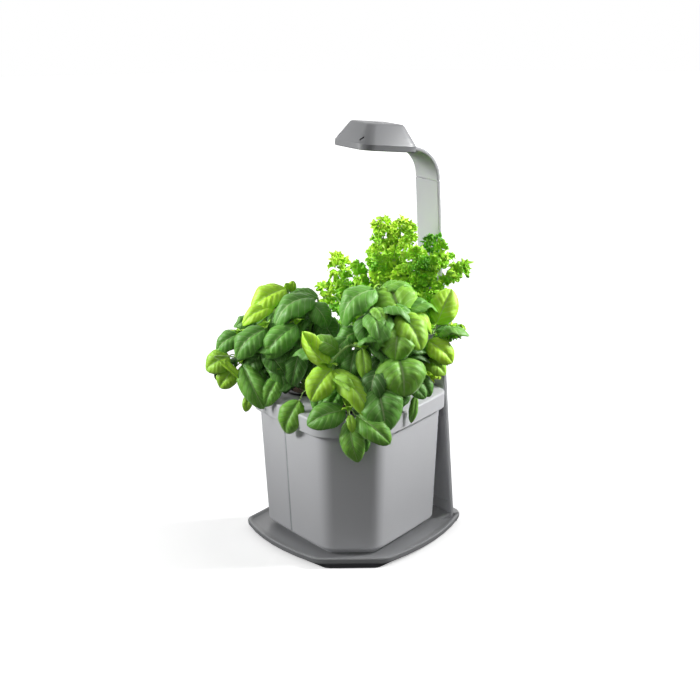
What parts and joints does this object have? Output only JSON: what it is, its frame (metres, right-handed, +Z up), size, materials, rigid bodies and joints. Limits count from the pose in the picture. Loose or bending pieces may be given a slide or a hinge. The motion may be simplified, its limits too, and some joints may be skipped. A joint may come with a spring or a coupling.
{
  "type": "countertop hydroponic garden",
  "caption": "Three-cornered water pot on a tray with potted basil and parsley in lift-out cups, under a small LED grow lamp on a sliding post.",
  "frame": {"origin": "on the surface that the tray stands on, under the pot's axis", "axes": "+Z up, +Y from the pot's axis towards the lamp post, +X to the right seen from the front"},
  "size_m": [0.2465, 0.2842, 0.4477],
  "materials": {
    "pad_rubber": "matt",
    "tray_plastic": "satin",
    "pot_plastic": "satin",
    "lid_plastic": "satin",
    "post_plastic": "satin",
    "head_plastic": "satin",
    "button_plastic": "satin",
    "diffuser": "frosted",
    "gauge_clear": "clear",
    "steel": "brushed",
    "screw_steel": "plain",
    "sink_aluminium": "extruded",
    "board": "solder mask",
    "driver": "solder mask",
    "led": "phosphor",
    "inlet_black": "matt",
    "cup_plastic": "matt",
    "plug_peat": "peat sponge",
    "basil_leaf": "leaf",
    "parsley_leaf": "leaf"
  },
  "bodies": {
    "base": {"base_pad": "pad_rubber", "tray": "tray_plastic", "lamp_post": "post_plastic", "foot_screws": "screw_steel", "post_cover": "post_plastic", "post_screws": "screw_steel", "power_inlet": "inlet_black"},
    "lamp": {"upper_arm": "post_plastic", "arm_cover": "post_plastic", "arm_tongue": "steel", "lamp_housing": "head_plastic", "lamp_diffuser": "diffuser", "led_board": "board", "leds": "led", "heat_sink": "sink_aluminium", "driver_board": "driver", "lamp_screws": "screw_steel"},
    "button": {"power_button": "button_plastic"},
    "pot": {"pot_shell": "pot_plastic", "water_gauge": "gauge_clear"},
    "lid": {"pot_lid": "lid_plastic"},
    "plant_back": {"cup_back": "cup_plastic", "grow_plug_back": "plug_peat", "parsley_back": "parsley_leaf"},
    "plant_left": {"cup_left": "cup_plastic", "grow_plug_left": "plug_peat", "basil_left": "basil_leaf"},
    "plant_right": {"cup_right": "cup_plastic", "grow_plug_right": "plug_peat", "basil_right": "basil_leaf"}
  },
  "joints": [
    {"name": "lamp_slide", "type": "slide", "parent": "base", "child": "lamp", "axis": [0, -0.0358, 0.9994], "range_m": [0, 0.075]},
    {"name": "button_press", "type": "slide", "parent": "lamp", "child": "button", "axis": [0, -0.1063, -0.9943], "range_m": [0, 0.001], "stiffness_N_per_m": 300},
    {"name": "pot_lift", "type": "slide", "parent": "base", "child": "pot", "axis": [0, 0, 1], "range_m": [0, 0.012]},
    {"name": "lid_lift", "type": "slide", "parent": "pot", "child": "lid", "axis": [0, 0, 1], "range_m": [0, 0.0155]},
    {"name": "plant_back_lift", "type": "slide", "parent": "lid", "child": "plant_back", "axis": [0, 0, 1], "range_m": [0, 0.05]},
    {"name": "plant_left_lift", "type": "slide", "parent": "lid", "child": "plant_left", "axis": [0, 0, 1], "range_m": [0, 0.05]},
    {"name": "plant_right_lift", "type": "slide", "parent": "lid", "child": "plant_right", "axis": [0, 0, 1], "range_m": [0, 0.05]}
  ]
}
